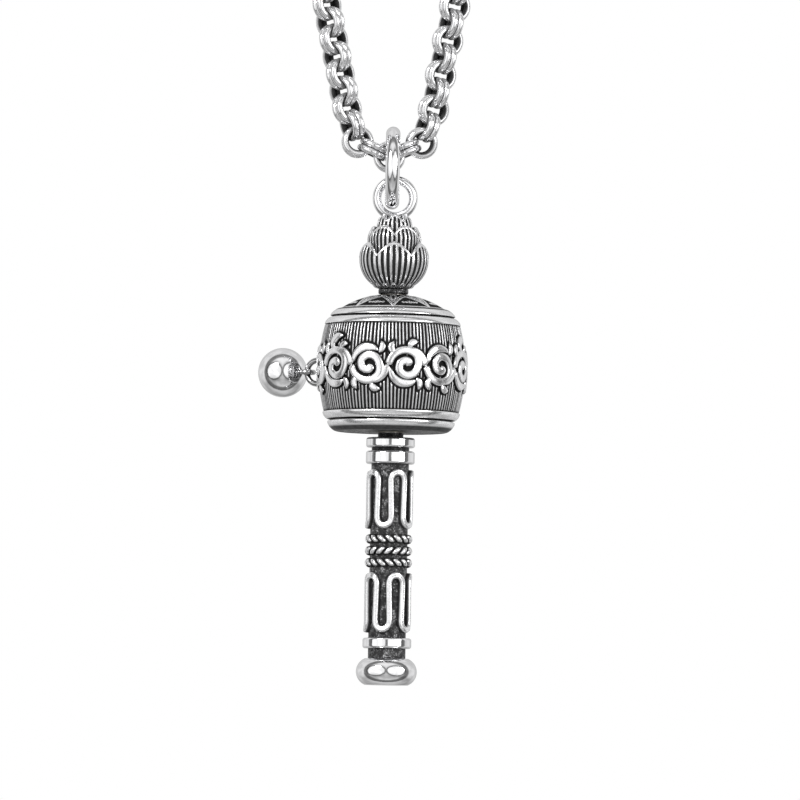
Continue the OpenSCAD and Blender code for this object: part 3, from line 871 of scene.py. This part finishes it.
def make_calyx(material):
    """Small scallops round the foot of the bud."""
    parts = Parts()
    rows, across = SCALLOP_ROWS, SCALLOP_ACROSS
    for i in range(SCALLOPS):
        a = 2 * math.pi * (i + 0.5) / SCALLOPS
        points = []
        rise = []
        for j in range(rows):
            for k in range(across):
                q = math.pi * k / (across - 1)
                size = 1 - 0.5 * (j / (rows - 1)) ** 2
                dx = SCALLOP_HALF * size * math.cos(q)
                dz = SCALLOP_TALL * size * math.sin(q)
                lift = SCALLOP_PUFF * math.sin(math.pi / 2 * j / (rows - 1))
                h = CALYX_H + dz
                r = CALYX_R + CALYX_FLARE * math.sqrt(max(dz, 0) / SCALLOP_TALL) + lift
                turn = a + dx / r
                points.append((r * MM * math.cos(turn), r * MM * math.sin(turn), at_h(h)))
                rise.append(0.25 + 0.75 * j / (rows - 1))
        faces = grid_faces(rows, across, wrap_columns=False)
        faces.append(tuple(range((rows - 1) * across, rows * across)))
        faces.append(tuple(range(across))[::-1])
        for j in range(rows - 1):
            faces.append((j * across, (j + 1) * across, (j + 2) * across - 1, (j + 1) * across - 1))
        parts.add(points, faces, rise)
    parts.build("calyx_scallops", material, "handle", "oxidised_silver")


# ---------------------------------------------------------------- handle

SCROLL_LOOPS = 5
SCROLL_PHASE = 22
SCROLL_BULGE = 0.07
SCROLL_WIDTH = 0.63 * MM
END_TALL = 1.25
LOOP_SAMPLES = 24
# Section of the looped wire: place across, in widths, and height, from 0 at the core to 1
LOOP_SECTION = ((-0.52, -0.1), (-0.5, 0.4), (-0.45, 0.75), (-0.34, 0.94), (-0.12, 0.99), (0.05, 0.95),
                (0.12, 0.88), (0.2, 0.94), (0.36, 0.92), (0.46, 0.72), (0.5, 0.4), (0.52, -0.1))
SCROLL_SINK = 0.03 * MM


def loop_line(half_pitch, tall):
    """A row of tall loops with straight legs and round ends, flat: lengths round the core and heights."""
    bend = half_pitch / 2
    turn = np.linspace(0, math.pi, LOOP_SAMPLES, endpoint=False)
    leg = np.linspace(0, 1, LOOP_SAMPLES, endpoint=False)
    reach = tall / 2 - END_TALL * bend
    out = []
    for i in range(SCROLL_LOOPS):
        start = (2 * i - 0.5) * half_pitch
        s = np.concatenate([start + bend - bend * np.cos(turn), start + 2 * bend + 0 * leg,
                            start + 3 * bend - bend * np.cos(turn), start + 4 * bend + 0 * leg])
        z = np.concatenate([reach + END_TALL * bend * np.sin(turn), reach - 2 * reach * leg,
                            -reach - END_TALL * bend * np.sin(turn), -reach + 2 * reach * leg])
        wave = np.cos(math.pi * (s - start) / (2 * bend))
        out.append(np.stack([s - SCROLL_BULGE * bend * wave * z / reach, z], axis=1))
    return np.concatenate(out)


def make_scroll_wire(name, node, material):
    """A flat-topped wire bent into tall loops round the handle."""
    core = radius("handle_core")
    wire = radius(node) - core
    outer = core + wire
    half_pitch = math.pi * outer / SCROLL_LOOPS
    flat = loop_line(half_pitch, high(node) - low(node) - SCROLL_WIDTH)
    flat[:, 0] += math.radians(SCROLL_PHASE - 90) * outer
    flat[:, 1] += (low(node) + high(node)) / 2
    count = len(flat)
    ahead = np.roll(flat, -1, 0) - np.roll(flat, 1, 0)
    wrap = 2 * math.pi * outer
    ahead[:, 0] = (ahead[:, 0] + wrap / 2) % wrap - wrap / 2
    ahead /= np.linalg.norm(ahead, axis=1)[:, None]
    side = np.stack([-ahead[:, 1], ahead[:, 0]], axis=1)
    points = []
    rise = []
    for i in range(count):
        for across, up in LOOP_SECTION:
            s, h = flat[i] + side[i] * across * SCROLL_WIDTH
            a = s / outer
            r = core - SCROLL_SINK + (wire + SCROLL_SINK) * up
            points.append((r * math.cos(a), r * math.sin(a), h))
            rise.append(up)
    build(name, points, grid_faces(count, len(LOOP_SECTION), wrap_rows=True), material, "handle",
          (node,), rise)


ROPE_TWISTS = 8
# The rope is bright where it bulges out this far, but not this far above or below its middle
ROPE_OUT = (0.66, 0.9)
ROPE_OFF = (0.5, 0.8)
ROPE_AROUND, ROPE_ACROSS = 352, 12


def make_rope(node, lean, phase, material):
    """Two wires twisted together and closed into a ring, rubbed bright only where they bulge outwards."""
    z = (low(node) + high(node)) / 2
    half = (high(node) - low(node)) / 2
    ring_r = radius(node) - half
    strand_r = half * 0.5
    offset = half - strand_r
    parts = Parts()
    a = np.linspace(0, 2 * math.pi, ROPE_AROUND, endpoint=False)
    for strand in (0, 1):
        twist = lean * ROPE_TWISTS * a + strand * math.pi + phase
        centre = np.stack([(ring_r + offset * np.cos(twist)) * np.cos(a),
                           (ring_r + offset * np.cos(twist)) * np.sin(a),
                           z + offset * np.sin(twist)], axis=1)
        ahead = np.roll(centre, -1, 0) - np.roll(centre, 1, 0)
        ahead /= np.linalg.norm(ahead, axis=1)[:, None]
        up = np.array([0, 0, 1.0])
        side = np.cross(ahead, up)
        side /= np.linalg.norm(side, axis=1)[:, None]
        top = np.cross(side, ahead)
        b = np.linspace(0, 2 * math.pi, ROPE_ACROSS, endpoint=False)
        points = (centre[:, None, :] + strand_r * np.cos(b)[None, :, None] * side[:, None, :]
                  + strand_r * np.sin(b)[None, :, None] * top[:, None, :])
        reach = np.hypot(np.hypot(points[..., 0], points[..., 1]) - ring_r, points[..., 2] - z)
        off_middle = np.abs(points[..., 2] - z) / half
        rubbed = smooth(*ROPE_OUT, reach / half) * (1 - smooth(*ROPE_OFF, off_middle))
        parts.add(points, grid_faces(ROPE_AROUND, ROPE_ACROSS, wrap_rows=True), rubbed)
    parts.build(node.replace("rope_ring", "twisted_ring"), material, "handle", "polished_silver", (node,))


# ---------------------------------------------------------------- studio

LEFT_PANEL = (-0.66, -0.75, 0.1)
RIGHT_PANEL = (0.62, -0.78, 0.1)
WORLD_STRENGTH = 1.25
# Brightness by direction, each place from 0 (straight away) to 1 (straight towards): the nearer panel,
# the camera's side of the tent, whose sides are dark, and up
PANEL_STOPS = [(0.0, 0.8), (0.5, 0.84), (0.8, 0.8), (0.865, 0.62), (0.892, 0.16), (0.905, 0.2), (0.925, 1.0)]
WING_STOPS = [(0.0, 0.6), (0.2, 0.78), (0.42, 0.85), (0.485, 0.2), (0.6, 0.28), (0.68, 1.0)]
FLOOR_STOPS = [(0.0, 0.7), (0.2, 0.5), (0.33, 0.82), (0.42, 1.0), (1.0, 0.94)]
CLOUD_STOPS = [(0.38, 0.8), (0.6, 1.0)]
CLOUD_SCALE = 2.4


def make_studio():
    """A white tent round the pendant, with dark sides, and two pale panels towards the camera."""
    scene = bpy.context.scene
    scene.view_settings.view_transform = "Standard"
    scene.view_settings.look = "None"
    world = bpy.data.worlds.new("studio")
    scene.world = world
    world.use_nodes = True
    tree = world.node_tree
    link = tree.links.new
    background = tree.nodes["Background"]

    def math_node(operation, *values):
        made = tree.nodes.new("ShaderNodeMath")
        made.operation = operation
        for socket, value in zip(made.inputs, values):
            feed(tree, value, socket)
        return made.outputs[0]

    def ramp(value, stops):
        return colour_ramp(tree, value, [(place, (grey, grey, grey, 1)) for place, grey in stops], "EASE")

    def dot(vector, direction):
        made = tree.nodes.new("ShaderNodeVectorMath")
        made.operation = "DOT_PRODUCT"
        link(vector, made.inputs[0])
        made.inputs[1].default_value = Vector(direction).normalized()
        return made.outputs["Value"]

    coordinates = tree.nodes.new("ShaderNodeTexCoord")
    ray = coordinates.outputs["Generated"]
    nearest = math_node("MAXIMUM", dot(ray, LEFT_PANEL), dot(ray, RIGHT_PANEL))
    panels = ramp(math_node("MULTIPLY_ADD", nearest, 0.5, 0.5), PANEL_STOPS)
    facing = math_node("MULTIPLY_ADD", dot(ray, (0, -1, 0)), 0.5, 0.5)
    wings = ramp(facing, WING_STOPS)
    lift = math_node("MULTIPLY_ADD", dot(ray, (0, 0, 1)), 0.5, 0.5)
    floor_shade = ramp(lift, FLOOR_STOPS)
    cloud = tree.nodes.new("ShaderNodeTexNoise")
    cloud.inputs["Scale"].default_value = CLOUD_SCALE
    cloud.inputs["Detail"].default_value = 2.0
    link(ray, cloud.inputs["Vector"])
    soft = ramp(cloud.outputs["Fac"], CLOUD_STOPS)
    shade = math_node("MULTIPLY", math_node("MULTIPLY", panels, floor_shade),
                      math_node("MULTIPLY", wings, soft))
    link(shade, background.inputs["Color"])
    background.inputs["Strength"].default_value = WORLD_STRENGTH


SURROUND_R = 2.5
FLOOR_R = 2.4
FLOOR_DROP = 0.3
FLOOR_GLOW = 0.3


def make_backdrop():
    """A plain white surround that only the camera sees, and a pale floor well below the pendant."""
    bpy.ops.mesh.primitive_uv_sphere_add(segments=48, ring_count=24, radius=SURROUND_R)
    surround = bpy.context.object
    surround.name = "backdrop"
    material = bpy.data.materials.new("backdrop_white")
    material.use_nodes = True
    tree = material.node_tree
    tree.nodes.clear()
    glow = tree.nodes.new("ShaderNodeEmission")
    out = tree.nodes.new("ShaderNodeOutputMaterial")
    tree.links.new(glow.outputs[0], out.inputs[0])
    surround.data.materials.append(material)
    for ray in ("visible_diffuse", "visible_glossy", "visible_transmission", "visible_shadow"):
        setattr(surround, ray, False)
    bpy.ops.mesh.primitive_circle_add(vertices=96, radius=FLOOR_R, fill_type="NGON",
                                     location=(0, 0, BASE_Z - FLOOR_DROP))
    floor = bpy.context.object
    floor.name = "floor"
    pale = bpy.data.materials.new("floor_white")
    pale.use_nodes = True
    sockets = pale.node_tree.nodes["Principled BSDF"].inputs
    sockets["Base Color"].default_value = (0.95, 0.95, 0.95, 1)
    sockets["Roughness"].default_value = 0.9
    sockets["Emission Color"].default_value = (1, 1, 1, 1)
    sockets["Emission Strength"].default_value = FLOOR_GLOW
    floor.data.materials.append(pale)
    floor.visible_glossy = False


LAMP_AIM_H = 30


def area_light(name, place, size, power):
    """A round lamp, aimed at the middle of the drum."""
    data = bpy.data.lights.new(name, "AREA")
    data.shape = "DISK"
    data.size = size
    data.energy = power
    lamp = bpy.data.objects.new(name, data)
    lamp.location = place
    aim = Vector((0, 0, at_h(LAMP_AIM_H))) - Vector(place)
    lamp.rotation_mode = "QUATERNION"
    lamp.rotation_quaternion = aim.to_track_quat("-Z", "Y")
    bpy.context.scene.collection.objects.link(lamp)


# ---------------------------------------------------------------- assembly


def dress(material, *names):
    """Gives CAD nodes whose shape is right their final material."""
    for name in names:
        slots = NODES[name].data.materials
        slots.clear()
        slots.append(material)


make_camera()
link_silver = relief("rubbed_links", dark=0.02, bright=0.9, edge=(0.22, 0.62), rough=(0.3, 0.09),
                     oxide_reach=1.3 * MM, grain=0.0012 * MM)
chain, path = make_chain(link_silver)

mirror = polished("mirror_silver")
bright = polished("bright_silver", grey=0.9, rough=0.1, oxide_reach=0.35 * MM)
smoky = polished("smoky_silver", grey=0.62, rough=0.14, oxide_reach=0.9 * MM, tarnish=0.4)
wire_silver = relief("rubbed_wire", dark=0.02, bright=0.95, edge=(0.55, 0.88), rough=(0.35, 0.1))
rope_silver = relief("rubbed_rope", dark=0.01, bright=0.97, edge=(0.3, 0.75), rough=(0.35, 0.1))
ornament = relief("rubbed_ornament", dark=0.015, bright=0.93, edge=(0.4, 0.85), rough=(0.4, 0.13))
fluted = relief("fluted_ground", dark=0.008, bright=0.72, edge=(0.5, 0.92), rough=(0.5, 0.28))
petal = relief("rubbed_petals", dark=0.012, bright=0.88, edge=(0.4, 0.85), rough=(0.35, 0.14))
rim_silver = relief("rubbed_rims", dark=0.02, bright=0.97, edge=(0.1, 0.7), rough=(0.3, 0.12))
black = cast_dark("blackened_cast")
turned = satin("turned_steel", 0.62, 0.28)
brass = satin("turned_brass", 0.3, 0.35, tint=(1, 0.94, 0.84))
sheet_paper = paper("scroll_paper")

make_barrel(fluted)
make_motifs(ornament)
make_dome(relief("star_relief", dark=0.006, bright=0.97, edge=(0.3, 0.8), rough=(0.65, 0.16)))
make_prayer_scroll(sheet_paper)
for tier in TIERS:
    make_tier(tier, petal)
make_heart(black)
make_calyx(petal)
make_rims(rim_silver)
make_scroll_wire("lower_loop_wire", "lower_scroll_wire", wire_silver)
make_scroll_wire("upper_loop_wire", "upper_scroll_wire", wire_silver)
for node, lean, phase in (("rope_ring_1", -1, 0.4), ("rope_ring_2", 1, 0.0), ("rope_ring_3", -1, 0.4)):
    make_rope(node, lean, phase, rope_silver)

dress(mirror, "pommel", "base_collar", "shoulder_collar", "top_collar",
      "jump_ring", "weight_ball")
dress(smoky, "weight_link", "weight_lug", "weight_eye")
dress(bright, "finial_eye", "clasp_link", "clasp_shell", "end_ring")
dress(black, "handle_core", "finial_base", "bottom_cap", "thrust_washer")
dress(turned, "axle", "clasp_gate", "clasp_spring", "scroll_sleeve")
dress(brass, "upper_bush", "lower_bush")

make_studio()
make_backdrop()
area_light("key", place=(-0.32, -0.42, 0.3), size=0.22, power=2.6)
area_light("fill", place=(0.45, -0.3, 0.1), size=0.3, power=1.5)
